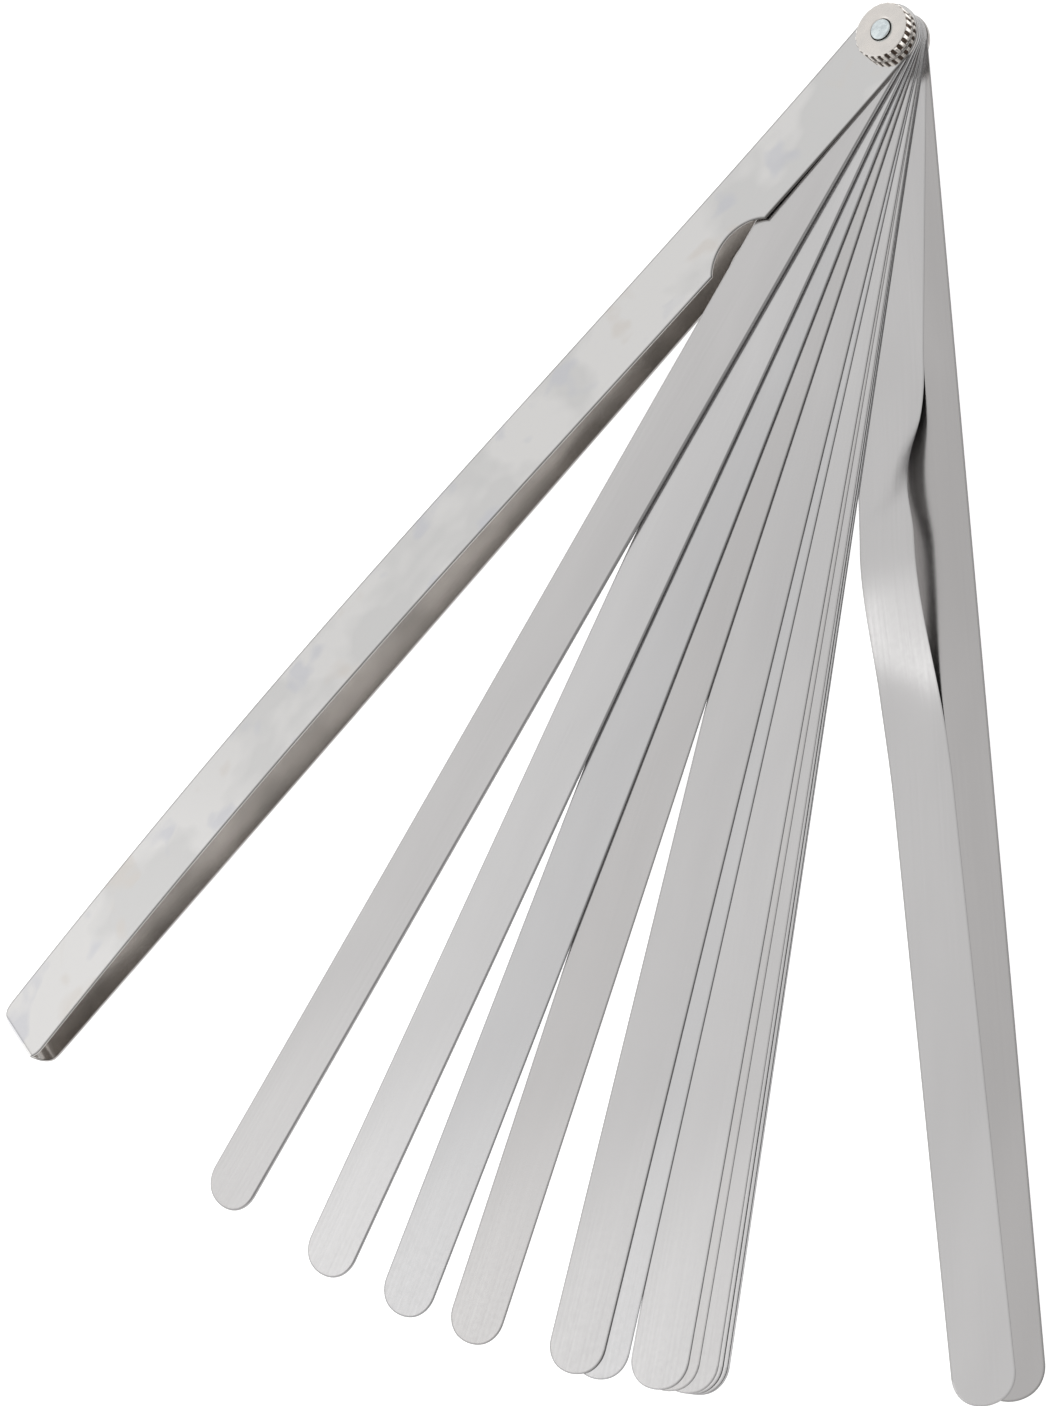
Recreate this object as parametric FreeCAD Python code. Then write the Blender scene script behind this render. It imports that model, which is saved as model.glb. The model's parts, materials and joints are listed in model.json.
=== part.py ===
# A long-leaf feeler gauge: seventeen steel leaves of stepped thickness that fan out of a folded
# sheet cover around one pivot screw, clamped by a knurled lock nut.
#
# Frame: millimetres, +Z up. The origin is on the pivot axis, on the underside of the screw's head,
# which the gauge rests on. The cover points along -X, the leaves fan out of it towards -Y, and the
# lock nut is on top. The leaves are modelled fanned out, which is the rest position.
import FreeCAD, Part
import math
import os

os.makedirs("parts", exist_ok=True)

# Leaves, from the lock nut's side to the underside: thickness, angle out of the cover, and reach
# from the pivot axis to the tip.
LEAVES = (
    (1.00, 14.8, 293.0),
    (0.75, 21.3, 293.0),
    (0.50, 25.9, 293.0),
    (0.40, 29.7, 293.0),
    (0.25, 35.0, 293.0),
    (0.20, 36.2, 293.0),
    (0.15, 39.1, 293.0),
    (0.10, 39.6, 293.0),
    (0.09, 40.5, 293.0),
    (0.08, 40.7, 293.0),
    (0.07, 40.6, 293.0),
    (0.06, 40.9, 293.0),
    (0.05, 40.8, 293.0),
    (0.04, 41.0, 293.0),
    (0.03, 40.9, 293.0),
    (0.02, 53.6, 297.0),
    (0.30, 55.1, 297.0),
)
LEAF_WIDTH = 14.0
LEAF_END_RADIUS = 9.0       # across the tip
LEAF_CORNER_RADIUS = 6.0    # from the tip into the sides
LAYER_GAP = 0.02            # oil film between neighbouring layers

# Cover: one strip of sheet folded back on itself at the far end, open along both sides.
SHEET = 0.6
COVER_WIDTH = 16.0
COVER_REACH = 303.0         # pivot axis to the outside of the fold
COVER_ROOT = 7.2            # pivot axis to the rounded near end
COVER_CORNER = 4.5          # corner rounding at the fold, seen from above
FOLD_RADIUS = 3.3           # outside of the fold, seen from the side
FOLD_LEAN = 3.5             # rise of the upper leaf where it leaves the fold, in degrees
CLAMP_LAND = 10.0           # flat under the lock nut, from the pivot axis
BOW_REACH = 185.0           # pivot axis to the high point of the upper leaf's bow
BOW_HEIGHT = 10.0           # from the cover's underside to the upper leaf's outside there

# Finger notch through both leaves of the cover, on the side where the gauge leaves come out.
NOTCH_REACH = 55.0
NOTCH_CHORD = 17.2
NOTCH_DEPTH = 4.2

# Pivot screw: M5, with a plain flat head under the cover and a square neck in the cover's lower
# leaf, so that it stays put while the nut is turned by hand.
SCREW_RADIUS = 2.5
PIVOT_CLEARANCE = 0.05      # radial, in every hole around the screw
HEAD_RADIUS = 4.5
HEAD_HEIGHT = 1.6
HEAD_EDGE = 0.3
NECK_WIDTH = 5.0
SCREW_STANDOUT = 0.5        # screw end above the nut
SCREW_END_EDGE = 0.5

# Lock nut: round, with a coarse straight knurl.
NUT_RADIUS = 6.5
NUT_HEIGHT = 2.8
NUT_EDGE = 0.35
NUT_BORE_EDGE = 0.3
KNURL_GROOVES = 24
KNURL_GROOVE_RADIUS = 0.55

UP = FreeCAD.Vector(0, 0, 1)
ACROSS = FreeCAD.Vector(0, 1, 0)
ORIGIN = FreeCAD.Vector(0, 0, 0)
HOLE_RADIUS = SCREW_RADIUS + PIVOT_CLEARANCE
COVER_BOTTOM = HEAD_HEIGHT
STACK_BOTTOM = COVER_BOTTOM + SHEET + LAYER_GAP
STACK_TOP = STACK_BOTTOM + sum(thickness + LAYER_GAP for thickness, angle, reach in LEAVES)
COVER_TOP = STACK_TOP + SHEET
BOW_TOP = COVER_BOTTOM + BOW_HEIGHT
NUT_BOTTOM = COVER_TOP + LAYER_GAP
NUT_TOP = NUT_BOTTOM + NUT_HEIGHT


def point(x, y, z):
    return FreeCAD.Vector(x, y, z)


def cylinder(radius, bottom, top, x=0, y=0):
    return Part.makeCylinder(radius, top - bottom, point(x, y, bottom))


def square_bar(width, bottom, top):
    return Part.makeBox(width, width, top - bottom, point(-width / 2, -width / 2, bottom))


def turned(profile):
    """Solid of revolution around the pivot axis from (radius, height) corners."""
    corners = [point(radius, 0, height) for radius, height in profile]
    return Part.Face(Part.makePolygon(corners + corners[:1])).revolve(ORIGIN, UP, 360)


def rounded_strip(width, root, reach, corner_radius, end_radius, z):
    """Flat outline at height z along -X: a round root, straight sides and rounded far corners,
    joined by an arc of end_radius, or by a straight line if that is None. The root and the far end
    are root and reach away from the pivot axis."""
    half = width / 2
    centre_y = half - corner_radius
    if end_radius is None:
        centre_x = corner_radius - reach
        end_direction = math.pi
    else:
        end_x = end_radius - reach
        centre_x = end_x - math.sqrt((end_radius - corner_radius) ** 2 - centre_y ** 2)
        end_direction = math.atan2(centre_y, centre_x - end_x)

    def on_corner(direction, side):
        return point(centre_x + corner_radius * math.cos(direction),
                     side * (centre_y + corner_radius * math.sin(direction)), z)

    def corner(side):
        middle = (math.pi / 2 + end_direction) / 2
        return Part.Arc(on_corner(math.pi / 2, side), on_corner(middle, side),
                        on_corner(end_direction, side)).toShape()

    left = point(0, -half, z)
    right = point(0, half, z)
    end_points = on_corner(end_direction, 1), on_corner(end_direction, -1)
    if end_radius is None:
        end = Part.makeLine(*end_points)
    else:
        end = Part.Arc(end_points[0], point(-reach, 0, z), end_points[1]).toShape()
    return Part.Wire([
        Part.Arc(left, point(root, 0, z), right).toShape(),
        Part.makeLine(right, on_corner(math.pi / 2, 1)),
        corner(1),
        end,
        corner(-1),
        Part.makeLine(on_corner(math.pi / 2, -1), left),
    ])


def prism(outline, height):
    return Part.Face(outline).extrude(UP * height)


def leaf(bottom, thickness, angle, reach):
    """One gauge leaf, turned out of the cover by angle."""
    outline = rounded_strip(LEAF_WIDTH, LEAF_WIDTH / 2, reach, LEAF_CORNER_RADIUS,
                            LEAF_END_RADIUS, bottom)
    hole = cylinder(HOLE_RADIUS, bottom - SHEET, bottom + thickness + SHEET)
    solid = prism(outline, thickness).cut(hole)
    solid.rotate(ORIGIN, UP, angle)
    return solid


def cover_side_profile():
    """The folded strip seen along Y: flat lower leaf, round fold, bowed upper leaf, clamp land."""
    lean = math.radians(FOLD_LEAN)
    fold_x = FOLD_RADIUS - COVER_REACH
    fold_z = FOLD_RADIUS + COVER_BOTTOM
    root_x = COVER_WIDTH

    def face(inset):
        """Fold arc and bowed upper leaf, set in from the outside by inset."""
        radius = FOLD_RADIUS - inset
        fold_start = point(fold_x, 0, fold_z - radius)
        fold_middle = point(fold_x - radius, 0, fold_z)
        fold_end = point(fold_x - radius * math.sin(lean), 0, fold_z + radius * math.cos(lean))
        land = point(-CLAMP_LAND, 0, COVER_TOP - inset)
        bow = Part.BSplineCurve()
        bow.interpolate(Points=[fold_end, point(-BOW_REACH, 0, BOW_TOP - inset), land],
                        InitialTangent=point(math.cos(lean), 0, math.sin(lean)),
                        FinalTangent=point(1, 0, 0))
        return [
            Part.makeLine(point(root_x, 0, COVER_BOTTOM + inset), fold_start),
            Part.Arc(fold_start, fold_middle, fold_end).toShape(),
            bow.toShape(),
            Part.makeLine(land, point(root_x, 0, COVER_TOP - inset)),
        ]

    ends = [Part.makeLine(point(root_x, 0, low), point(root_x, 0, low + SHEET))
            for low in (COVER_BOTTOM, STACK_TOP)]
    edges = Part.__sortEdges__(face(0) + face(SHEET) + ends)
    return Part.Wire(edges)


def cover():
    profile = Part.Face(cover_side_profile())
    profile.translate(ACROSS * -COVER_WIDTH)
    folded = profile.extrude(ACROSS * 2 * COVER_WIDTH)
    plan = rounded_strip(COVER_WIDTH, COVER_ROOT, COVER_REACH, COVER_CORNER, None, 0)
    solid = folded.common(prism(plan, BOW_TOP + SHEET))
    solid = solid.cut(square_bar(NECK_WIDTH + 2 * PIVOT_CLEARANCE, 0, STACK_BOTTOM))
    solid = solid.cut(cylinder(HOLE_RADIUS, STACK_BOTTOM, BOW_TOP))
    notch_radius = (NOTCH_CHORD ** 2 / 4 + NOTCH_DEPTH ** 2) / (2 * NOTCH_DEPTH)
    notch_y = -(COVER_WIDTH / 2 - NOTCH_DEPTH + notch_radius)
    return solid.cut(cylinder(notch_radius, 0, BOW_TOP, -NOTCH_REACH, notch_y))


def pivot_screw():
    top = NUT_TOP + SCREW_STANDOUT
    turned_part = turned([
        (0, 0),
        (HEAD_RADIUS - HEAD_EDGE, 0),
        (HEAD_RADIUS, HEAD_EDGE),
        (HEAD_RADIUS, HEAD_HEIGHT),
        (SCREW_RADIUS, HEAD_HEIGHT),
        (SCREW_RADIUS, top - SCREW_END_EDGE),
        (SCREW_RADIUS - SCREW_END_EDGE, top),
        (0, top),
    ])
    neck = square_bar(NECK_WIDTH, HEAD_HEIGHT, HEAD_HEIGHT + SHEET)
    return turned_part.fuse(neck).removeSplitter()


def lock_nut():
    nut = turned([
        (HOLE_RADIUS, NUT_BOTTOM),
        (NUT_RADIUS - NUT_EDGE, NUT_BOTTOM),
        (NUT_RADIUS, NUT_BOTTOM + NUT_EDGE),
        (NUT_RADIUS, NUT_TOP - NUT_EDGE),
        (NUT_RADIUS - NUT_EDGE, NUT_TOP),
        (HOLE_RADIUS + NUT_BORE_EDGE, NUT_TOP),
        (HOLE_RADIUS, NUT_TOP - NUT_BORE_EDGE),
    ])
    for number in range(KNURL_GROOVES):
        turn = 2 * math.pi * number / KNURL_GROOVES
        nut = nut.cut(cylinder(KNURL_GROOVE_RADIUS, NUT_BOTTOM - SHEET, NUT_TOP + SHEET,
                               NUT_RADIUS * math.cos(turn), NUT_RADIUS * math.sin(turn)))
    return nut


def write(name, shape):
    shape.exportStep(os.path.join("parts", name + ".step"))


write("cover", cover())
write("pivot_screw", pivot_screw())
write("lock_nut", lock_nut())
level = STACK_TOP
for thickness, angle, reach in LEAVES:
    level -= thickness + LAYER_GAP
    name = "leaf_{:.2f}_mm".format(thickness).replace(".", "_")
    write(name, leaf(level, thickness, angle, reach))
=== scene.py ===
# Looks of a long-leaf feeler gauge: a folded nickel-plated cover, seventeen satin steel leaves, a
# pivot screw and a knurled lock nut. Metres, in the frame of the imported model: the pivot axis is
# the Z axis, the cover points along -X and the leaves fan out of it towards -Y.
import json
import math

import bmesh
import bpy
from mathutils import Matrix, Vector

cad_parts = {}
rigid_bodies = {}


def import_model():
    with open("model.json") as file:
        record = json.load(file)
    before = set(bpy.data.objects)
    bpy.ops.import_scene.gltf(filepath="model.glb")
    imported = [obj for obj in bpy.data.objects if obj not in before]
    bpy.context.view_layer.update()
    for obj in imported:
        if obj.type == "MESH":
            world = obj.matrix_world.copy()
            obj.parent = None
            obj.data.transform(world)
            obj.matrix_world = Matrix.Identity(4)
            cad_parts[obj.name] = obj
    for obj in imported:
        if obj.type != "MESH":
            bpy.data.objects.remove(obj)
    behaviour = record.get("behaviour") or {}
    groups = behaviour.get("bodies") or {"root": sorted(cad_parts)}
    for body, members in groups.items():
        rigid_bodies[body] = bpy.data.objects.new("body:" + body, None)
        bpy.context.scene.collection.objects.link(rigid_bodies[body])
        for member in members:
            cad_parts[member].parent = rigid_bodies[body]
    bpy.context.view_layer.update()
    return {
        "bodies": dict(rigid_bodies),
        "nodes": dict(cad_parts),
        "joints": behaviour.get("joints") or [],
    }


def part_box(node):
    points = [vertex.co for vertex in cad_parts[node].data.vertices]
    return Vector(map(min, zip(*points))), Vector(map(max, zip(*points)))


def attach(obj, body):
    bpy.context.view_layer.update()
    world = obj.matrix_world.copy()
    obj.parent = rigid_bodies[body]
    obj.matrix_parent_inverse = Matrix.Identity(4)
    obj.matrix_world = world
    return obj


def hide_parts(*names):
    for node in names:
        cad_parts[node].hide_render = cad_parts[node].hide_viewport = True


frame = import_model()

MM = 0.001
TURN = 2 * math.pi

# Leaf
LEAF_END_RADIUS = 9.0 * MM
LEAF_CORNER_RADIUS = 6.0 * MM
LEAF_EDGE_SHARE = 0.46          # rounding along a leaf's edges, as a share of its thickness
EDGE_BAND = 0.5 * MM            # how far the painted edge shade reaches in from an edge
HOLE_CLEARANCE = 0.05 * MM
EDGE_DARKNESS = (0.3, 0.6)      # strength of the painted edge shade, from the thinnest leaves to the thick ones
THICK_LEAF = 0.3 * MM

# Buckled leaf: distances are from the pivot, heights are above its flat state
BUCKLED = "leaf_0_02_mm"
ROOT_HOLD = (2.6 * MM, 12.0 * MM)   # the screw keeps the leaf in place up to here
ROOT_SLOPE = 0.073
TIP_SLOPE = 0.048
TIP_CROSSING = 265.0 * MM
SWERVE = (75.0 * MM, 173.0 * MM)
ELBOW_IN = (86.0 * MM, 13.0 * MM, -0.45 * MM)
ELBOW_OUT = (102.5 * MM, 14.0 * MM, 1.35 * MM)
OUTER_LIFT = 4.1 * MM
OUTER_RISE = (77.0 * MM, 109.0 * MM)
OUTER_FALL = (120.0 * MM, 160.0 * MM)
INNER_LIFT = 2.4 * MM
INNER_RISE = (104.0 * MM, 118.0 * MM)
INNER_FALL = (119.0 * MM, 148.0 * MM)
CROWN_FADE = (95.0 * MM, 112.0 * MM)
CROWN_ROOT = 2.6                # power of the lift across the leaf, before the fade
CROWN_TIP = 1.2                 # and after it
BEND_REACH = (60.0 * MM, 180.0 * MM)    # the stretch that gets extra edges
STRAIGHT_BY = math.radians(10)  # turned this far from rest, the leaf lies flat again

# Cover
LAYER_GAP = 0.02 * MM           # oil film between neighbouring layers
SHEET = 0.6 * MM
SHEET_EDGE = 0.14 * MM
COVER_BAND = 0.85 * EDGE_BAND   # the cover's band of painted edge shade
COVER_CORNER = 4.5 * MM
FOLD_RADIUS = 3.3 * MM
FOLD_LEAN = math.radians(3.5)
CLAMP_LAND = 10.0 * MM
BOW_REACH = 185.0 * MM
BOW_HEIGHT = 10.0 * MM          # the cover's top face there, above its underside
NOTCH_REACH = 55.0 * MM
NOTCH_CHORD = 17.2 * MM
NOTCH_DEPTH = 4.2 * MM
NOTCH_RADIUS = (NOTCH_CHORD ** 2 / 4 + NOTCH_DEPTH ** 2) / (2 * NOTCH_DEPTH)

# Screw and nut
SCREW_RADIUS = 2.5 * MM
HEAD_RADIUS = 4.5 * MM
HEAD_EDGE = 0.3 * MM
NECK_WIDTH = 5.0 * MM
THREAD_PITCH = 0.8 * MM
THREAD_DEPTH = 0.3 * MM
SCREW_END_RADIUS = 2.36 * MM    # the shank above its thread
PEEN_RADII = (1.6 * MM, 1.15 * MM, 0.7 * MM, 0.3 * MM)
PEEN_DENTS = ((0.9, 0.3, 0.10), (-0.6, 0.9, 0.16), (0.1, -1.1, 0.20), (-1.2, -0.4, 0.08),
              (1.3, -0.9, 0.24))     # x, y and depth in millimetres
NUT_RADIUS = 6.5 * MM
NUT_FACE_RADIUS = 6.2 * MM
NUT_EDGE = 0.3 * MM
NUT_BORE_EDGE = 0.08 * MM
KNURL_GROOVES = 24
KNURL_GROOVE_RADIUS = 0.46 * MM
KNURL_RUNOUT = 0.5 * MM
KNURL_COLLAR = 0.4 * MM         # plain ring left below the grooves

# View
VIEW_AZIMUTH = math.radians(19.55)
VIEW_ELEVATION = math.radians(50.01)
VIEW_ROLL = math.radians(-63.85)
VIEW_DISTANCE = 913.9 * MM
VIEW_TARGET = Vector((-157.8, -44.7, 5.0)) * MM
VIEW_LENS = 107.6

# Colours, linear RGBA
COOL_STAIN = (0.56, 0.565, 0.61, 1)
WARM_STAIN = (0.64, 0.60, 0.56, 1)
# painted shade for the cover's faces towards the leaves, darker and warmer than the plate
INSIDE_SHADE_DARK = (0.43, 0.412, 0.395, 1)
INSIDE_SHADE_PALE = (0.54, 0.517, 0.497, 1)
# painted highlight for the knurl's ridges
RIDGE_HIGHLIGHT = (0.95, 0.90, 0.84, 1)
# painted shade for deep in the knurl's grooves and the nut's bore
GROOVE_SHADE = (0.12, 0.085, 0.065, 1)
DULL_ZINC = (0.60, 0.66, 0.68, 1)
BRIGHT_ZINC = (0.82, 0.89, 0.90, 1)
SHADED_ZINC = (0.10, 0.10, 0.09, 1)

# Studio: light levels of the tent, and the floor
TENT = 0.92
HORIZON = 0.6
CAMERA_SIDE = 0.5
FLOOR_HALF = 3.0
FLOOR_DROP = 0.02 * MM
FLOOR_GLOW = 0.7


# ---------------------------------------------------------------- small mesh tools

def spread(start, end, count):
    """count + 1 evenly spaced values from start to end."""
    return [start + (end - start) * step / count for step in range(count + 1)]


def arc(centre, radius, start, end, count):
    """Points of a round stretch, both ends included."""
    return [(centre[0] + radius * math.cos(turn), centre[1] + radius * math.sin(turn))
            for turn in spread(start, end, count)]


def inset(outline, distance):
    """A closed anticlockwise outline, moved inwards."""
    moved = []
    for here, point in enumerate(outline):
        before = Vector(point) - Vector(outline[here - 1])
        after = Vector(outline[(here + 1) % len(outline)]) - Vector(point)
        along = (before.normalized() + after.normalized()).normalized()
        moved.append((point[0] - along.y * distance, point[1] + along.x * distance))
    return moved


def edge_profile(bottom, top, radius, steps=3):
    """(inset, height) pairs round a softened edge, from the lower face to the upper one."""
    lower = [(radius * (1 - math.sin(turn)), bottom + radius * (1 - math.cos(turn)))
             for turn in spread(0, TURN / 4, steps)]
    upper = [(radius * (1 - math.cos(turn)), top - radius * (1 - math.sin(turn)))
             for turn in spread(0, TURN / 4, steps)]
    return lower + upper


def loft(mesh, rings):
    """Quads between neighbouring closed rings of vertices."""
    for lower, upper in zip(rings, rings[1:]):
        for here in range(len(lower)):
            there = (here + 1) % len(lower)
            mesh.faces.new((lower[here], lower[there], upper[there], upper[here]))


def ring_edges(mesh, ring):
    """The edges round a closed ring of vertices, made where they are missing."""
    return [mesh.edges.get((ring[here - 1], ring[here])) or mesh.edges.new((ring[here - 1], ring[here]))
            for here in range(len(ring))]


def finish_piece(name, mesh, body, node, material):
    """Turns a bmesh into a piece that stands for a node and rides on its body."""
    bmesh.ops.recalc_face_normals(mesh, faces=mesh.faces)
    data = bpy.data.meshes.new(name)
    mesh.to_mesh(data)
    mesh.free()
    for polygon in data.polygons:
        polygon.use_smooth = True
    piece = bpy.data.objects.new(name, data)
    bpy.context.scene.collection.objects.link(piece)
    data.materials.append(material)
    shading = piece.modifiers.new("even_faces", "WEIGHTED_NORMAL")
    shading.keep_sharp = True
    shading.weight = 90
    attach(piece, body)
    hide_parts(node)
    return piece


def mark(piece, name, rule):
    """Stores rule(vertex position) on every vertex, for the material to read."""
    values = piece.data.attributes.new(name, "FLOAT", "POINT")
    values.data.foreach_set("value", [rule(vertex.co) for vertex in piece.data.vertices])


# ---------------------------------------------------------------- sizes from the frame

def heights(node):
    """Lowest and highest z of a node."""
    low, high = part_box(node)
    return low.z, high.z


def rest_angles():
    """How far each leaf is turned out of the cover at rest."""
    return {joint["child"]: -math.radians(joint["range_deg"][0])
            for joint in frame["joints"] if "range_deg" in joint}


def leaf_size(node, angle):
    """Reach and half width of a leaf, measured along and across it."""
    turned_back = Matrix.Rotation(-angle, 3, "Z")
    points = [turned_back @ vertex.co for vertex in frame["nodes"][node].data.vertices]
    return -min(point.x for point in points), max(point.y for point in points)


REST_ANGLES = rest_angles()
COVER_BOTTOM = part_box("cover")[0].z
COVER_REACH = -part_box("cover")[0].x
COVER_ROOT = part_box("cover")[1].x
COVER_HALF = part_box("cover")[1].y
NUT_BOTTOM, NUT_TOP = heights("lock_nut")
SCREW_TOP = heights("pivot_screw")[1]
COVER_TOP = NUT_BOTTOM - LAYER_GAP
STACK_TOP = COVER_TOP - SHEET
NECK_TOP = COVER_BOTTOM + SHEET
THREAD_START = COVER_TOP - 0.5 * MM
THREAD_END = NUT_TOP - 0.8 * MM
KNURL_BOTTOM = NUT_BOTTOM + KNURL_COLLAR
NUT_BORE = SCREW_RADIUS + HOLE_CLEARANCE


# ---------------------------------------------------------------- materials

class Nodes:
    """A short way to write a node tree."""

    def __init__(self, tree):
        self.tree = tree

    def add(self, kind, inputs=None, **settings):
        node = self.tree.nodes.new(kind)
        for name, value in settings.items():
            setattr(node, name, value)
        for name, value in (inputs or {}).items():
            if isinstance(value, bpy.types.NodeSocket):
                self.tree.links.new(value, node.inputs[name])
            else:
                node.inputs[name].default_value = value
        return node

    def noise(self, vector, scale, detail=3.0, roughness=0.5, distortion=0.0):
        return self.add("ShaderNodeTexNoise", {"Vector": vector, "Scale": scale, "Detail": detail,
                                               "Roughness": roughness,
                                               "Distortion": distortion}).outputs["Fac"]

    def stretch(self, vector, scale, turn=0.0):
        """Coordinates turned about Z, then scaled along the new axes."""
        turned = self.add("ShaderNodeMapping", {"Vector": vector, "Rotation": (0, 0, turn)})
        return self.add("ShaderNodeMapping", {"Vector": turned.outputs["Vector"],
                                              "Scale": scale}).outputs["Vector"]

    def remap(self, value, low, high, to_low, to_high):
        return self.add("ShaderNodeMapRange", {"Value": value, "From Min": low, "From Max": high,
                                               "To Min": to_low, "To Max": to_high}).outputs["Result"]

    def mix(self, share, first, second):
        node = self.add("ShaderNodeMix", data_type="RGBA")
        shade_sockets = ((node.inputs[0], share), (node.inputs[6], first), (node.inputs[7], second))
        for socket, value in shade_sockets:
            if isinstance(value, bpy.types.NodeSocket):
                self.tree.links.new(value, socket)
            else:
                socket.default_value = value
        return node.outputs[2]

    def math(self, operation, first, second=0.0):
        node = self.add("ShaderNodeMath", operation=operation)
        for socket, value in zip(node.inputs, (first, second)):
            if isinstance(value, bpy.types.NodeSocket):
                self.tree.links.new(value, socket)
            else:
                socket.default_value = value
        return node.outputs[0]

    def bump(self, height, strength, distance, normal=None):
        inputs = {"Height": height, "Strength": strength, "Distance": distance}
        if normal is not None:
            inputs["Normal"] = normal
        return self.add("ShaderNodeBump", inputs).outputs["Normal"]


def grey(level, warmth=0.0):
    """A near-grey linear colour; positive warmth leans to red, negative to blue."""
    return (level * (1 + warmth), level, level * (1 - warmth), 1)


def scaled(shade, factor):
    """A red, green and blue shade made darker or brighter, as a colour."""
    return tuple(channel * factor for channel in shade) + (1,)


def metal(name):
    """A new metal material: its node helper, object coordinates and shader."""
    material = bpy.data.materials.new(name)
    material.use_nodes = True
    nodes = Nodes(material.node_tree)
    shader = material.node_tree.nodes["Principled BSDF"]
    shader.inputs["Metallic"].default_value = 1.0
    place = nodes.add("ShaderNodeTexCoord").outputs["Object"]
    return material, nodes, place, shader


def connect(nodes, shader, **sockets):
    """Links sockets to a shader's inputs; an underscore in a name stands for a space."""
    for name, value in sockets.items():
        nodes.tree.links.new(value, shader.inputs[name.replace("_", " ")])


def leaf_steel(name, angle, shade, edge_shade):
    """Satin rolled spring steel: fine grain along the leaf, faint clouds, and painted shade darkening
    the edges.
    """
    material, nodes, place, shader = metal(name)
    grain = nodes.noise(nodes.stretch(place, (14, 1500, 1), -angle), 1.0, 4.0, 0.6)
    clouds = nodes.noise(nodes.stretch(place, (14, 40, 20), -angle), 1.0, 2.0, 0.5, 0.6)
    specks = nodes.noise(place, 900.0, 2.0, 0.5)
    edge = nodes.add("ShaderNodeAttribute", attribute_name="edge").outputs["Fac"]
    cloudy = nodes.mix(nodes.remap(clouds, 0.35, 0.65, 0, 1), scaled(shade, 0.965), scaled(shade, 1.035))
    grained = nodes.mix(nodes.remap(grain, 0.3, 0.7, 0.0, 0.10), cloudy, scaled(shade, 0.8))
    # painted shade: the edges and the band along them are darkened towards 0.35 of the steel's colour
    colour = nodes.mix(nodes.math("MULTIPLY", edge, edge_shade), grained, scaled(shade, 0.35))
    roughness = nodes.math("ADD", nodes.remap(grain, 0.3, 0.7, 0.18, 0.23),
                           nodes.remap(specks, 0.4, 0.7, 0.0, 0.03))
    normal = nodes.bump(grain, 0.2, 0.004 * MM)
    normal = nodes.bump(clouds, 0.2, 0.05 * MM, normal)
    connect(nodes, shader, Base_Color=colour, Roughness=roughness, Normal=normal)
    return material


def nickel_plate():
    """Bright nickel plate over sheet: wiped patches, faint stains, painted shade along the edges, and a
    darker, warmer painted shade on the faces towards the leaves.
    """
    material, nodes, place, shader = metal("nickel_plate")
    large = nodes.noise(nodes.stretch(place, (32, 38, 38)), 1.0, 3.0, 0.5, 0.2)
    small = nodes.noise(nodes.stretch(place, (75, 90, 90)), 1.0, 2.0, 0.5, 0.2)
    fine = nodes.noise(place, 1400.0, 3.0, 0.6)
    edge = nodes.add("ShaderNodeAttribute", attribute_name="edge").outputs["Fac"]
    inside = nodes.add("ShaderNodeAttribute", attribute_name="inside").outputs["Fac"]
    wiped = nodes.remap(large, 0.46, 0.54, 0, 1)
    colour = nodes.mix(wiped, grey(0.62, 0.010), grey(0.69, 0.014))
    cool = nodes.mix(nodes.remap(small, 0.60, 0.68, 0.0, 0.55), colour, COOL_STAIN)
    warm = nodes.mix(nodes.remap(small, 0.37, 0.29, 0.0, 0.55), cool, WARM_STAIN)
    # painted shade: the cover's outline and the band along it are darkened to a dark warm grey
    shaded_edge = nodes.mix(edge, warm, grey(0.16, 0.03))
    # painted shade: where the inside mask is 1, the faces towards the leaves turn a darker, warmer grey
    inside_shade = nodes.mix(nodes.remap(small, 0.35, 0.65, 0, 1), INSIDE_SHADE_DARK, INSIDE_SHADE_PALE)
    final = nodes.mix(inside, shaded_edge, inside_shade)
    from_pivot = nodes.add("ShaderNodeVectorMath", {0: place}, operation="LENGTH").outputs["Value"]
    polish = nodes.remap(from_pivot, 10 * MM, 25 * MM, 0.3, 1.0)
    roughness = nodes.math("ADD", nodes.remap(wiped, 0, 1, 0.22, 0.15),
                           nodes.remap(fine, 0.35, 0.65, -0.02, 0.03))
    roughness = nodes.math("MULTIPLY", roughness, polish)
    normal = nodes.bump(large, 0.3, 0.05 * MM)
    normal = nodes.bump(fine, 0.1, 0.008 * MM, normal)
    connect(nodes, shader, Base_Color=final, Roughness=roughness, Normal=normal)
    return material


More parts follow.
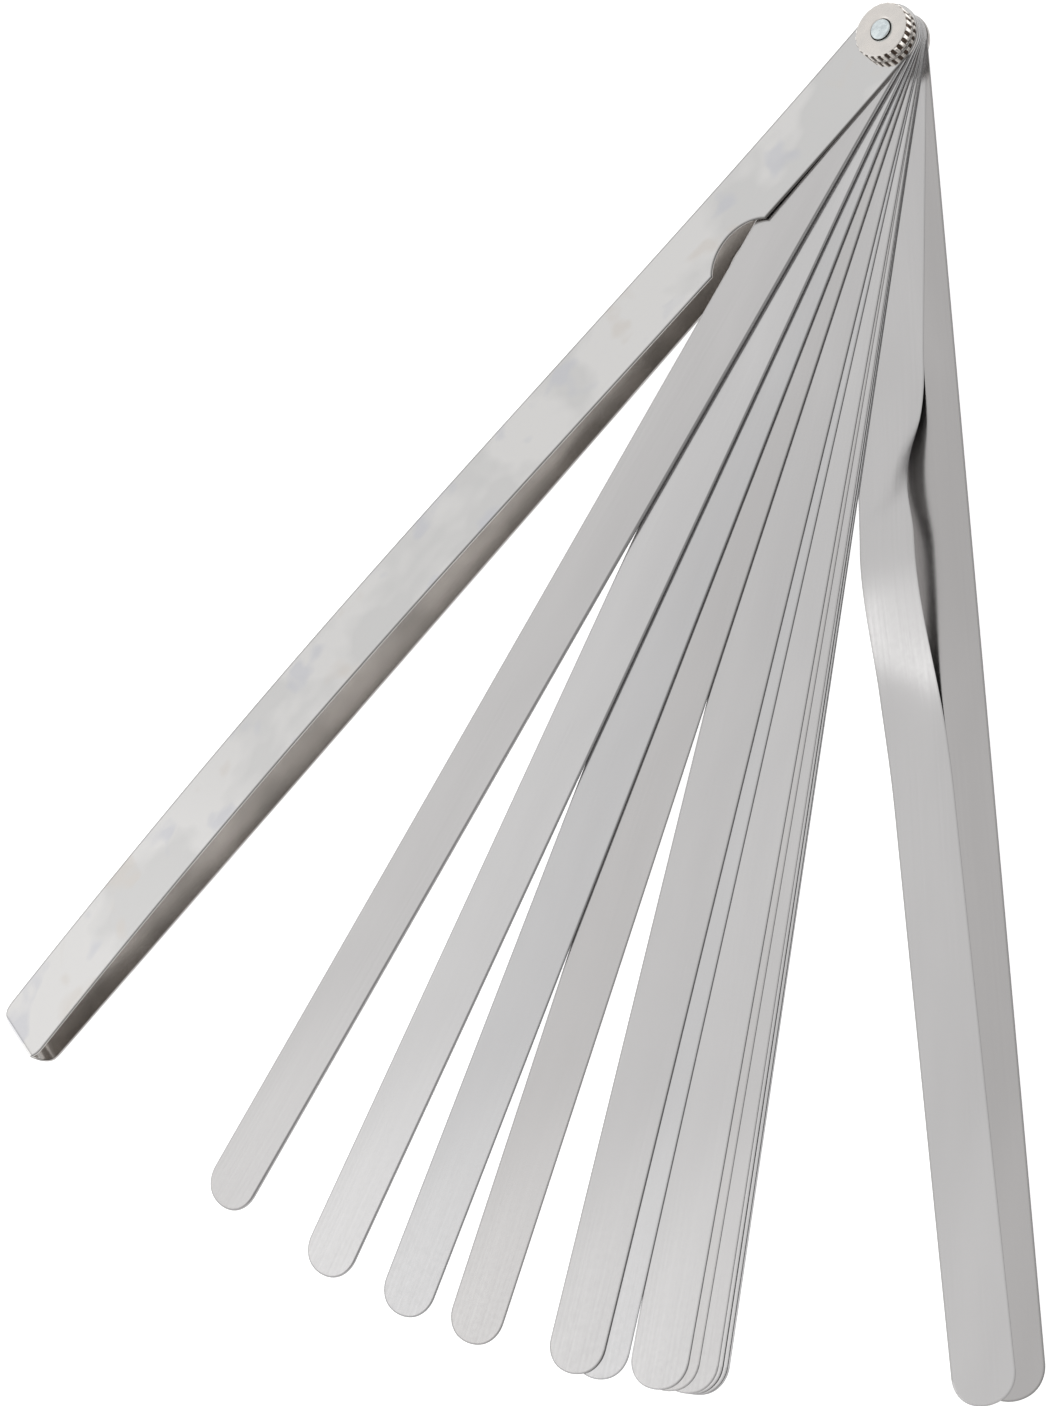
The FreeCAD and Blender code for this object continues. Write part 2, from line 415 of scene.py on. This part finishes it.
def nickel_nut():
    """Warm nickel plate: fine turning rings on the flat faces, painted shade in the knurl's grooves and
    the bore, and a painted highlight on the knurl's ridges.
    """
    material, nodes, place, shader = metal("nickel_nut")
    parts = nodes.add("ShaderNodeSeparateXYZ", {"Vector": place})
    squares = [nodes.math("MULTIPLY", parts.outputs[axis], parts.outputs[axis]) for axis in "XY"]
    radius = nodes.math("SQRT", nodes.math("ADD", *squares))
    ring_place = nodes.add("ShaderNodeCombineXYZ", {"X": radius, "Y": parts.outputs["Z"]})
    rings = nodes.noise(ring_place.outputs["Vector"], 9000.0, 2.0, 0.6)
    clouds = nodes.noise(place, 350.0, 3.0, 0.55)
    groove = nodes.add("ShaderNodeAttribute", attribute_name="groove").outputs["Fac"]
    colour = nodes.mix(nodes.remap(clouds, 0.35, 0.65, 0, 1), grey(0.66, 0.045), grey(0.71, 0.055))
    crest = nodes.add("ShaderNodeAttribute", attribute_name="crest").outputs["Fac"]
    # painted highlight: the knurl's ridges turn a pale cream
    ridge_highlighted = nodes.mix(crest, colour, RIDGE_HIGHLIGHT)
    # painted shade: near-black deep in the grooves and in the bore
    groove_shaded = nodes.mix(groove, ridge_highlighted, GROOVE_SHADE)
    roughness = nodes.math("ADD", nodes.remap(rings, 0.3, 0.7, 0.20, 0.30),
                           nodes.remap(clouds, 0.4, 0.7, 0.0, 0.05))
    normal = nodes.bump(rings, 0.2, 0.01 * MM)
    connect(nodes, shader, Base_Color=groove_shaded, Roughness=roughness, Normal=normal)
    return material


def zinc_plate():
    """Bright blue-white zinc plate with a peened, finely pitted end."""
    material, nodes, place, shader = metal("zinc_plate")
    clouds = nodes.noise(place, 700.0, 4.0, 0.6)
    pits = nodes.add("ShaderNodeTexVoronoi", {"Vector": place, "Scale": 1400.0}).outputs["Distance"]
    shaded = nodes.add("ShaderNodeAttribute", attribute_name="shaded").outputs["Fac"]
    bright = nodes.mix(nodes.remap(clouds, 0.35, 0.65, 0, 1), DULL_ZINC, BRIGHT_ZINC)
    colour = nodes.mix(shaded, bright, SHADED_ZINC)
    roughness = nodes.remap(clouds, 0.3, 0.7, 0.16, 0.34)
    normal = nodes.bump(pits, 0.25, 0.03 * MM)
    connect(nodes, shader, Base_Color=colour, Roughness=roughness, Normal=normal)
    return material


# ---------------------------------------------------------------- leaves

def leaf_outline(reach, half):
    """Anticlockwise outline of a leaf that points along -X."""
    centre_y = half - LEAF_CORNER_RADIUS
    end_x = LEAF_END_RADIUS - reach
    centre_x = end_x - math.sqrt((LEAF_END_RADIUS - LEAF_CORNER_RADIUS) ** 2 - centre_y ** 2)
    lean = math.atan2(centre_y, centre_x - end_x)
    return (arc((0, 0), half, -TURN / 4, TURN / 4, 40)
            + arc((centre_x, centre_y), LEAF_CORNER_RADIUS, TURN / 4, lean, 10)
            + arc((end_x, 0), LEAF_END_RADIUS, lean, TURN - lean, 16)[1:-1]
            + arc((centre_x, -centre_y), LEAF_CORNER_RADIUS, TURN - lean, TURN * 3 / 4, 10))


def leaf_plate(node):
    """A flat plate pointing along -X, with softened edges and a round pivot hole, and its half width."""
    bottom, top = heights(node)
    reach, half = leaf_size(node, REST_ANGLES[node])
    edge = (top - bottom) * LEAF_EDGE_SHARE
    outline = leaf_outline(reach, half)
    mesh = bmesh.new()
    # the edge mask for the painted edge shade: 1 on the outer edges, 0 from EDGE_BAND inwards
    shaded_edge = mesh.verts.layers.float.new("edge")
    profile = edge_profile(bottom, top, edge)
    profile = [(EDGE_BAND, bottom)] + profile + [(EDGE_BAND, top)]
    rings = [[mesh.verts.new((x, y, z)) for x, y in inset(outline, distance)] for distance, z in profile]
    for ring, (distance, z) in zip(rings, profile):
        for vertex in ring:
            vertex[shaded_edge] = 1.0 - distance / EDGE_BAND
    loft(mesh, rings)
    hole = arc((0, 0), SCREW_RADIUS + HOLE_CLEARANCE, 0, TURN, 32)[:-1]
    walls = [[mesh.verts.new((x, y, z)) for x, y in hole] for z in (bottom, top)]
    loft(mesh, walls)
    for outer, inner in ((rings[0], walls[0]), (rings[-1], walls[1])):
        bmesh.ops.triangle_fill(mesh, use_beauty=True,
                                edges=ring_edges(mesh, outer) + ring_edges(mesh, inner))
    return mesh, half


def flat_leaf(node, material):
    """One leaf, turned out of the cover by its rest angle."""
    angle = REST_ANGLES[node]
    mesh = leaf_plate(node)[0]
    bmesh.ops.rotate(mesh, verts=mesh.verts, matrix=Matrix.Rotation(angle, 3, "Z"))
    return finish_piece(node + "_blade", mesh, node, node, material)


def smooth(ends, value):
    """0 before the first end, 1 past the second, and a smooth rise between."""
    share = min(1.0, max(0.0, (value - ends[0]) / (ends[1] - ends[0])))
    return share * share * (3 - 2 * share)


def hump(shape, value):
    """A smooth bump given as (middle, half length, height)."""
    middle, half_length, height = shape
    share = min(1.0, abs(value - middle) / half_length)
    return height * (1 - share * share) ** 2


def buckled_point(point, half):
    """Where a point of the flat leaf (pointing along -X) goes once the leaf is buckled."""
    distance = -point.x
    turn = smooth(SWERVE, distance)
    sideways = (1 - turn) * ROOT_SLOPE * distance + turn * TIP_SLOPE * (TIP_CROSSING - distance)
    sideways += hump(ELBOW_IN, distance) + hump(ELBOW_OUT, distance)
    sideways *= smooth(ROOT_HOLD, distance)
    outer = OUTER_LIFT * smooth(OUTER_RISE, distance) * (1 - smooth(OUTER_FALL, distance))
    inner = INNER_LIFT * smooth(INNER_RISE, distance) * (1 - smooth(INNER_FALL, distance))
    share = min(1.0, max(0.0, (half - point.y) / (2 * half)))
    bend = CROWN_ROOT + (CROWN_TIP - CROWN_ROOT) * smooth(CROWN_FADE, distance)
    lift = inner + (outer - inner) * share ** bend
    return Vector((point.x, point.y + sideways, point.z + lift))


def cut_across(mesh, normal, places):
    """Extra edges in a bmesh, on planes across an axis."""
    for place in places:
        bmesh.ops.bisect_plane(mesh, geom=mesh.verts[:] + mesh.edges[:] + mesh.faces[:],
                               plane_co=normal * place, plane_no=normal)


def buckled_leaf(node, material):
    """The thinnest leaf, with an S-bend at rest that straightens when the leaf is swung."""
    mesh, half = leaf_plate(node)
    cut_across(mesh, Vector((1, 0, 0)), spread(-BEND_REACH[1], -BEND_REACH[0], 60))
    cut_across(mesh, Vector((0, 1, 0)), spread(-half * 0.85, half * 0.85, 8))
    bmesh.ops.triangulate(mesh, faces=mesh.faces)
    turn = Matrix.Rotation(REST_ANGLES[node], 3, "Z")
    bmesh.ops.rotate(mesh, verts=mesh.verts, matrix=turn)
    piece = finish_piece(node + "_blade", mesh, node, node, material)
    resting = piece.shape_key_add(name="buckled")
    straight = piece.shape_key_add(name="straight")
    turned_back = turn.inverted()
    for number, vertex in enumerate(piece.data.vertices):
        straight.data[number].co = vertex.co
        resting.data[number].co = turn @ buckled_point(turned_back @ vertex.co, half)
    follow_swing(straight, frame["bodies"][node])
    return piece


def follow_swing(key, body):
    """Drives a shape key by how far a body is turned: 0 at rest, 1 past STRAIGHT_BY either way."""
    curve = key.driver_add("value")
    for modifier in list(curve.modifiers):
        curve.modifiers.remove(modifier)
    curve.driver.type = "SUM"
    swing = curve.driver.variables.new()
    swing.name = "swing"
    swing.type = "TRANSFORMS"
    swing.targets[0].id = body
    swing.targets[0].transform_type = "ROT_Z"
    swing.targets[0].transform_space = "WORLD_SPACE"
    for turned_by, value in ((-STRAIGHT_BY, 1.0), (0.0, 0.0), (STRAIGHT_BY, 1.0)):
        point = curve.keyframe_points.insert(turned_by, value)
        point.interpolation = "LINEAR"
    curve.extrapolation = "CONSTANT"


# ---------------------------------------------------------------- cover

def bow_height(x):
    """Height and slope of the upper leaf's middle surface at x: a cubic spline through three points."""
    fold_x = FOLD_RADIUS - COVER_REACH
    middle = FOLD_RADIUS - SHEET / 2
    xs = (fold_x - middle * math.sin(FOLD_LEAN), -BOW_REACH, -CLAMP_LAND)
    zs = (COVER_BOTTOM + FOLD_RADIUS + middle * math.cos(FOLD_LEAN),
          COVER_BOTTOM + BOW_HEIGHT - SHEET / 2, COVER_TOP - SHEET / 2)
    spans = (xs[1] - xs[0], xs[2] - xs[1])
    first_slope = math.tan(FOLD_LEAN)
    rise = 3 * ((zs[1] - zs[0]) / spans[0] ** 2 + (zs[2] - zs[1]) / spans[1] ** 2)
    middle_slope = (rise - first_slope / spans[0]) / (2 / spans[0] + 2 / spans[1])
    if x >= xs[2]:
        return zs[2], 0.0
    part = 0 if x < xs[1] else 1
    slopes = (first_slope, middle_slope, 0.0)
    span = spans[part]
    share = (x - xs[part]) / span
    rise_a, rise_b = slopes[part] * span, slopes[part + 1] * span
    drop = zs[part] - zs[part + 1]
    cubic = 2 * drop + rise_a + rise_b
    square = -3 * drop - 2 * rise_a - rise_b
    height = ((cubic * share + square) * share + rise_a) * share + zs[part]
    slope = ((3 * cubic * share + 2 * square) * share + rise_a) / span
    return height, slope


def cover_half(x):
    """Half width of the cover at x, rounded at both ends."""
    if x > 0:
        centre = (COVER_ROOT ** 2 - COVER_HALF ** 2) / (2 * COVER_ROOT)
        return math.sqrt(max(0.0, (COVER_ROOT - centre) ** 2 - (x - centre) ** 2))
    past = COVER_CORNER - COVER_REACH - x
    if past > 0:
        return COVER_HALF - COVER_CORNER + math.sqrt(max(0.0, COVER_CORNER ** 2 - past ** 2))
    return COVER_HALF


def notch_cut(x):
    """How far the finger notch reaches in from the -Y edge at x."""
    across = abs(x + NOTCH_REACH)
    if across >= NOTCH_CHORD / 2:
        return 0.0
    return math.sqrt(NOTCH_RADIUS ** 2 - across ** 2) - (NOTCH_RADIUS - NOTCH_DEPTH)


def leaf_stations():
    """Places along one leaf of the cover, from the root to the fold, closer where it curves."""
    root = [COVER_ROOT * math.sin(turn) for turn in spread(TURN / 4, 0, 20)]
    sweep = math.asin(NOTCH_CHORD / 2 / NOTCH_RADIUS)
    notch = [NOTCH_RADIUS * math.sin(turn) - NOTCH_REACH for turn in spread(sweep, -sweep, 28)]
    before = spread(0, notch[0], 16)[1:-1]
    after = spread(notch[-1], COVER_CORNER - COVER_REACH, 90)[1:]
    return root + before + notch + after


def cover_path():
    """(x, z, direction) along the middle of the folded sheet, from the lower root to the upper."""
    fold_x = FOLD_RADIUS - COVER_REACH
    middle = FOLD_RADIUS - SHEET / 2
    along = [x for x in leaf_stations() if x > fold_x]
    path = [(x, COVER_BOTTOM + SHEET / 2, Vector((-1, 0))) for x in along]
    for turn in spread(0, TURN / 2 - FOLD_LEAN, 28):
        path.append((fold_x - middle * math.sin(turn),
                     COVER_BOTTOM + FOLD_RADIUS - middle * math.cos(turn),
                     Vector((-math.cos(turn), math.sin(turn)))))
    for x in reversed(along):
        height, slope = bow_height(x)
        path.append((x, height, Vector((1, slope)).normalized()))
    return path


def cut_hole(mesh, cutter):
    """Subtracts a closed bmesh from another, and returns the result."""
    objects = []
    for name, source in (("cut_from", mesh), ("cutter", cutter)):
        bmesh.ops.recalc_face_normals(source, faces=source.faces)
        data = bpy.data.meshes.new(name)
        source.to_mesh(data)
        source.free()
        objects.append(bpy.data.objects.new(name, data))
        bpy.context.scene.collection.objects.link(objects[-1])
    boolean = objects[0].modifiers.new("cut", "BOOLEAN")
    boolean.operation = "DIFFERENCE"
    boolean.solver = "EXACT"
    boolean.object = objects[1]
    evaluated = objects[0].evaluated_get(bpy.context.evaluated_depsgraph_get())
    result = bmesh.new()
    result.from_mesh(evaluated.to_mesh())
    evaluated.to_mesh_clear()
    for used in objects:
        data = used.data
        bpy.data.objects.remove(used)
        bpy.data.meshes.remove(data)
    return result


def prism(outline, bottom, top):
    """A closed straight prism as a bmesh."""
    mesh = bmesh.new()
    rings = [[mesh.verts.new((x, y, z)) for x, y in outline] for z in (bottom, top)]
    loft(mesh, rings)
    for ring in rings:
        mesh.faces.new(ring)
    return mesh


def cover_outline(path):
    """The strip's outline, once round, as (index along the path, y)."""
    between = range(1, len(path) - 1)
    near = [(index, cover_half(path[index][0])) for index in between]
    far = [(index, notch_cut(path[index][0]) - cover_half(path[index][0])) for index in between]
    return [(0, 0.0)] + far + [(len(path) - 1, 0.0)] + near[::-1]


def fill_across(mesh, ring):
    """Faces across a long closed ring, from one side to the other."""
    middle = len(ring) // 2
    mesh.faces.new((ring[0], ring[1], ring[-1]))
    for step in range(1, middle - 1):
        mesh.faces.new((ring[step], ring[step + 1], ring[-step - 1], ring[-step]))
    mesh.faces.new((ring[middle - 1], ring[middle], ring[middle + 1]))


def folded_strip():
    """The cover without its holes: a strip laid along the folded path, edges softened."""
    path = cover_path()
    lengths = [0.0]
    for before, after in zip(path, path[1:]):
        lengths.append(lengths[-1] + math.hypot(after[0] - before[0], after[1] - before[1]))
    outline = cover_outline(path)
    flat = [(lengths[index], y) for index, y in outline]
    profile = edge_profile(-SHEET / 2, SHEET / 2, SHEET_EDGE)
    profile = [(EDGE_BAND, -SHEET / 2)] + profile + [(EDGE_BAND, SHEET / 2)]
    mesh = bmesh.new()
    rings = []
    for distance, outward in profile:
        ring = []
        for (index, y), (length, across) in zip(outline, inset(flat, distance)):
            x, z, direction = path[index]
            shift = length - lengths[index]
            ring.append(mesh.verts.new((x + direction.x * shift - direction.y * outward, across,
                                        z + direction.y * shift + direction.x * outward)))
        rings.append(ring)
    loft(mesh, rings)
    fill_across(mesh, rings[0])
    fill_across(mesh, rings[-1])
    return mesh


def cover(material):
    """One strip of sheet folded back on itself, with a finger notch and the screw's holes."""
    hole = arc((0, 0), SCREW_RADIUS + HOLE_CLEARANCE, 0, TURN, 48)[:-1]
    mesh = cut_hole(folded_strip(), prism(hole, STACK_TOP - SHEET, COVER_TOP + SHEET))
    half = NECK_WIDTH / 2 + HOLE_CLEARANCE
    square = [(half, half), (-half, half), (-half, -half), (half, -half)]
    mesh = cut_hole(mesh, prism(square, COVER_BOTTOM - SHEET, COVER_BOTTOM + 2 * SHEET))
    piece = finish_piece("cover_shell", mesh, "cover_and_screw", "cover", material)
    mark(piece, "edge", near_edge)
    mark(piece, "inside", inside_cover)
    return piece


def near_edge(point):
    """1 on the outline of the cover, 0 from the band of painted edge shade inwards."""
    distance = cover_half(point.x) - abs(point.y)
    if abs(point.x + NOTCH_REACH) < NOTCH_CHORD / 2 and point.y < 0:
        notch_middle = NOTCH_DEPTH - NOTCH_RADIUS - COVER_HALF
        distance = math.hypot(point.x + NOTCH_REACH, point.y - notch_middle) - NOTCH_RADIUS
    return min(1.0, max(0.0, 1.0 - distance / COVER_BAND))


def inside_cover(point):
    """1 on the surfaces that face the leaves, 0 on the outer ones."""
    fold = Vector((FOLD_RADIUS - COVER_REACH, COVER_BOTTOM + FOLD_RADIUS))
    if point.x < fold.x:
        return 1.0 if math.hypot(point.x - fold.x, point.z - fold.y) < FOLD_RADIUS - SHEET / 2 else 0.0
    middle = bow_height(point.x)[0]
    above = COVER_BOTTOM + SHEET / 2
    return 1.0 if above < point.z < middle else 0.0


# ---------------------------------------------------------------- nut and screw

def turned(mesh, profile, angles, radius_rule):
    """Rings of vertices about the pivot axis from (radius, height) pairs, reshaped by a rule."""
    rings = []
    for radius, height in profile:
        ring = []
        for turn in angles:
            here = radius_rule(radius, height, turn)
            ring.append(mesh.verts.new((here * math.cos(turn), here * math.sin(turn), height)))
        rings.append(ring)
    return rings


def knurl_radius(radius, height, turn):
    """The radius left once the grooves are cut: they stop at a plain ring and fade out at the top."""
    if radius < NUT_FACE_RADIUS - KNURL_GROOVE_RADIUS:
        return radius
    if height < KNURL_BOTTOM:
        return min(radius, NUT_FACE_RADIUS)
    pitch = TURN / KNURL_GROOVES
    off = (turn + pitch / 2) % pitch - pitch / 2
    aside = NUT_RADIUS * math.sin(off)
    if abs(aside) >= KNURL_GROOVE_RADIUS:
        return radius
    depth = NUT_RADIUS - NUT_RADIUS * math.cos(off) + math.sqrt(KNURL_GROOVE_RADIUS ** 2 - aside ** 2)
    left = smooth((0.0, KNURL_RUNOUT), NUT_TOP - height)
    shallow = min(depth, NUT_RADIUS - NUT_FACE_RADIUS)
    return min(radius, NUT_RADIUS - shallow - (depth - shallow) * left)


def knurl_angles():
    """Angles round the nut, closer together inside the grooves."""
    pitch = TURN / KNURL_GROOVES
    groove = KNURL_GROOVE_RADIUS / NUT_RADIUS
    offsets = [-groove * math.cos(turn) for turn in spread(0, TURN / 2, 8)]
    offsets += spread(groove, pitch - groove, 5)[1:-1]
    return [pitch * number + offset for number in range(KNURL_GROOVES) for offset in offsets]


def nut_profile():
    """(radius, height) pairs round the nut's section, from the foot of the bore and back to it."""
    face = NUT_FACE_RADIUS - 0.1 * MM
    corner = NUT_BORE + NUT_BORE_EDGE
    profile = [(NUT_BORE, NUT_BOTTOM + NUT_BORE_EDGE)]
    profile += [(radius, NUT_BOTTOM) for radius in spread(corner, face, 3)]
    profile += [(NUT_FACE_RADIUS, NUT_BOTTOM + 0.04 * MM)]
    profile += [(NUT_FACE_RADIUS, KNURL_BOTTOM - 0.02 * MM)]
    profile += [(NUT_RADIUS, z) for z in spread(KNURL_BOTTOM + 0.02 * MM, NUT_TOP - NUT_EDGE, 8)]
    profile += [(NUT_FACE_RADIUS, NUT_TOP - 0.04 * MM)]
    profile += [(radius, NUT_TOP) for radius in spread(face, corner, 4)]
    profile += [(NUT_BORE, NUT_TOP - NUT_BORE_EDGE)]
    profile += [(NUT_BORE, (NUT_TOP + NUT_BOTTOM) / 2)]
    return profile


def in_groove(point):
    """1 in the bore and deep in the knurl's grooves, 0 elsewhere."""
    radius = math.hypot(point.x, point.y)
    if radius < NUT_BORE + NUT_BORE_EDGE * 0.5:
        return 1.0
    if radius < NUT_RADIUS / 2 or not KNURL_BOTTOM < point.z < NUT_TOP - 0.1 * MM:
        return 0.0
    return smooth((0.15, 0.6), (NUT_RADIUS - radius) / KNURL_GROOVE_RADIUS)


def on_crest(point):
    """1 on the knurl's ridges, 0 elsewhere."""
    on_wall = NUT_BOTTOM + 0.1 * MM < point.z < NUT_TOP - 0.1 * MM
    return 1.0 if on_wall and math.hypot(point.x, point.y) > NUT_RADIUS - 0.03 * MM else 0.0


def lock_nut(material):
    """Round nut with a coarse straight knurl, a bevelled flat top face and a plain bore."""
    mesh = bmesh.new()
    rings = turned(mesh, nut_profile(), knurl_angles(), knurl_radius)
    loft(mesh, rings + rings[:1])
    piece = finish_piece("lock_nut_body", mesh, "lock_nut", "lock_nut", material)
    mark(piece, "groove", in_groove)
    mark(piece, "crest", on_crest)
    return piece


def screw_radius(radius, height, turn):
    """Makes the neck square and winds the thread round the shank."""
    if COVER_BOTTOM + 0.01 * MM < height <= NECK_TOP:
        square = NECK_WIDTH / 2 / max(abs(math.cos(turn)), abs(math.sin(turn)))
        return min(square, NECK_WIDTH / 2 * 1.38)
    if THREAD_START < height < THREAD_END:
        wave = ((height / THREAD_PITCH - turn / TURN) % 1.0) * 2
        return radius - THREAD_DEPTH * abs(wave - 1)
    return radius


def screw_profile():
    """(radius, height) pairs up the screw, from the underside of its head to its turned-down end."""
    profile = [(HEAD_RADIUS - distance, z)
               for distance, z in edge_profile(0.0, COVER_BOTTOM, HEAD_EDGE, 4)][:-1]
    profile += [(HEAD_RADIUS - HEAD_EDGE, COVER_BOTTOM), (NECK_WIDTH * 0.72, COVER_BOTTOM)]
    profile += [(NECK_WIDTH / 2, COVER_BOTTOM + 0.02 * MM), (NECK_WIDTH / 2, NECK_TOP)]
    profile += [(SCREW_RADIUS, NECK_TOP + 0.01 * MM), (SCREW_RADIUS, THREAD_START)]
    profile += [(SCREW_RADIUS, z) for z in spread(THREAD_START, THREAD_END, 36)[1:]]
    profile += [(SCREW_END_RADIUS, THREAD_END + 0.2 * MM), (SCREW_END_RADIUS, NUT_TOP)]
    profile += [(SCREW_END_RADIUS, SCREW_TOP - 0.3 * MM)]
    profile += [(SCREW_END_RADIUS - 0.1 * MM, SCREW_TOP - 0.12 * MM)]
    profile += [(SCREW_END_RADIUS - 0.35 * MM, SCREW_TOP - 0.02 * MM)]
    return profile


def dent_depth(radius, turn):
    """How low the peened end lies at a radius and an angle: the nearest dent decides."""
    place = Vector((math.cos(turn), math.sin(turn))) * (radius / MM)
    away, depth = min(((place - Vector((x, y))).length, depth) for x, y, depth in PEEN_DENTS)
    return depth * MM * max(0.0, 1 - away * away / 3)


def out_of_the_light(point):
    """1 on the screw below the nut's top face, 0 on its end."""
    return 1.0 - smooth((NUT_TOP - 0.1 * MM, NUT_TOP + 0.2 * MM), point.z)


def pivot_screw(material):
    """Plain head and square neck below, a threaded shank, and a peened end in the nut."""
    angles = spread(0, TURN, 64)[:-1]
    mesh = bmesh.new()
    rings = turned(mesh, screw_profile(), angles, screw_radius)
    for radius in PEEN_RADII:
        rings.append([mesh.verts.new((radius * math.cos(turn), radius * math.sin(turn),
                                      SCREW_TOP - dent_depth(radius, turn))) for turn in angles])
    loft(mesh, rings)
    mesh.faces.new(rings[0])
    mesh.faces.new(rings[-1])
    piece = finish_piece("pivot_screw_body", mesh, "cover_and_screw", "pivot_screw",
                         material)
    mark(piece, "shaded", out_of_the_light)
    return piece


# ---------------------------------------------------------------- assembly

# Brightness and warmth of each leaf's steel, from the top of the stack down
LEAF_SHADES = (
    ("leaf_1_00_mm", 0.56, 0.012),
    ("leaf_0_75_mm", 0.60, 0.007),
    ("leaf_0_50_mm", 0.56, 0.003),
    ("leaf_0_40_mm", 0.53, 0.015),
    ("leaf_0_25_mm", 0.55, 0.010),
    ("leaf_0_20_mm", 0.58, 0.003),
    ("leaf_0_15_mm", 0.58, 0.009),
    ("leaf_0_10_mm", 0.56, 0.015),
    ("leaf_0_09_mm", 0.57, 0.011),
    ("leaf_0_08_mm", 0.58, 0.009),
    ("leaf_0_07_mm", 0.57, 0.009),
    ("leaf_0_06_mm", 0.59, 0.007),
    ("leaf_0_05_mm", 0.57, 0.005),
    ("leaf_0_04_mm", 0.58, 0.006),
    ("leaf_0_03_mm", 0.58, 0.006),
    ("leaf_0_02_mm", 0.54, 0.010),
    ("leaf_0_30_mm", 0.44, 0.018),
)
GREEN_SHARE = 0.993             # green, as a share of the brightness


def edge_shade_strength(node):
    """How strong a leaf's painted edge shade is: thin leaves hardly show theirs."""
    bottom, top = heights(node)
    least, most = EDGE_DARKNESS
    return least + (most - least) * min(1.0, (top - bottom) / THICK_LEAF)


cover(nickel_plate())
lock_nut(nickel_nut())
pivot_screw(zinc_plate())
for node, level, warmth in LEAF_SHADES:
    shade = (level * (1 + warmth), level * GREEN_SHARE, level * (1 - warmth))
    build = buckled_leaf if node == BUCKLED else flat_leaf
    build(node, leaf_steel(node + "_steel", REST_ANGLES[node], shade, edge_shade_strength(node)))


# ---------------------------------------------------------------- stage

def floor():
    """A white sheet under the gauge; its glow lightens the shadows on it."""
    mesh = bmesh.new()
    corners = [(-FLOOR_HALF, -FLOOR_HALF), (FLOOR_HALF, -FLOOR_HALF),
               (FLOOR_HALF, FLOOR_HALF), (-FLOOR_HALF, FLOOR_HALF)]
    mesh.faces.new([mesh.verts.new((x, y, 0)) for x, y in corners])
    data = bpy.data.meshes.new("floor")
    mesh.to_mesh(data)
    mesh.free()
    plane = bpy.data.objects.new("floor", data)
    plane.location.z = -FLOOR_DROP
    bpy.context.scene.collection.objects.link(plane)
    material = bpy.data.materials.new("floor_white")
    material.use_nodes = True
    nodes = Nodes(material.node_tree)
    shader = material.node_tree.nodes["Principled BSDF"]
    place = nodes.add("ShaderNodeTexCoord").outputs["Object"]
    paper = nodes.noise(place, 700.0, 3.0)
    connect(nodes, shader, Base_Color=nodes.mix(paper, grey(0.86), grey(0.88)))
    shader.inputs["Emission Color"].default_value = (1, 1, 1, 1)
    shader.inputs["Emission Strength"].default_value = FLOOR_GLOW
    shader.inputs["Roughness"].default_value = 0.9
    shader.inputs["Specular IOR Level"].default_value = 0.1
    data.materials.append(material)


def view_axes():
    """The camera's right, up and backward directions."""
    back = Vector((math.sin(VIEW_AZIMUTH) * math.cos(VIEW_ELEVATION),
                   -math.cos(VIEW_AZIMUTH) * math.cos(VIEW_ELEVATION), math.sin(VIEW_ELEVATION)))
    right = Vector((math.cos(VIEW_AZIMUTH), math.sin(VIEW_AZIMUTH), 0))
    up = back.cross(right)
    rolled_right = right * math.cos(VIEW_ROLL) + up * math.sin(VIEW_ROLL)
    rolled_up = up * math.cos(VIEW_ROLL) - right * math.sin(VIEW_ROLL)
    return rolled_right, rolled_up, back


def camera():
    """The main view: looks at VIEW_TARGET from VIEW_DISTANCE away."""
    right, up, back = view_axes()
    data = bpy.data.cameras.new("camera")
    data.lens = VIEW_LENS
    data.clip_start = 0.05
    data.clip_end = 20
    view = bpy.data.objects.new("camera", data)
    place = Matrix((right, up, back)).transposed().to_4x4()
    place.translation = VIEW_TARGET + back * VIEW_DISTANCE
    view.matrix_world = place
    bpy.context.scene.collection.objects.link(view)
    bpy.context.scene.camera = view


def world():
    """A pale tent, greyer near the horizon and round the camera."""
    tent = bpy.data.worlds.new("tent")
    bpy.context.scene.world = tent
    tent.use_nodes = True
    nodes = Nodes(tent.node_tree)
    background = tent.node_tree.nodes["Background"]
    direction = nodes.add("ShaderNodeTexCoord").outputs["Generated"]
    back = view_axes()[2]
    facing = nodes.add("ShaderNodeVectorMath", {0: direction, 1: back}, operation="DOT_PRODUCT")
    height = nodes.add("ShaderNodeSeparateXYZ", {"Vector": direction}).outputs["Z"]
    horizon = nodes.mix(nodes.remap(height, 0.0, 0.3, 1, 0), grey(TENT), grey(HORIZON))
    colour = nodes.mix(nodes.remap(facing.outputs["Value"], 0.6, 0.9, 0, 1), horizon,
                       grey(CAMERA_SIDE))
    tent.node_tree.links.new(colour, background.inputs["Color"])
    background.inputs["Strength"].default_value = 1.0


def softbox(name, place, aim, size, power):
    """A rectangular area light that faces a point."""
    data = bpy.data.lights.new(name, "AREA")
    data.shape = "RECTANGLE"
    data.size, data.size_y = size
    data.energy = power
    light = bpy.data.objects.new(name, data)
    light.location = place
    light.rotation_mode = "QUATERNION"
    light.rotation_quaternion = (Vector(aim) - Vector(place)).to_track_quat("-Z", "Y")
    bpy.context.scene.collection.objects.link(light)


floor()
camera()
world()
softbox("key", place=(-2.5, 2.67, 4.73), aim=(-0.08, -0.12, 0), size=(1.0, 1.0), power=2.1)
softbox("fill", place=(-1.6, 0.9, 1.2), aim=(-0.15, -0.05, 0), size=(1.6, 1.6), power=1.0)
bpy.context.scene.view_settings.view_transform = "Standard"
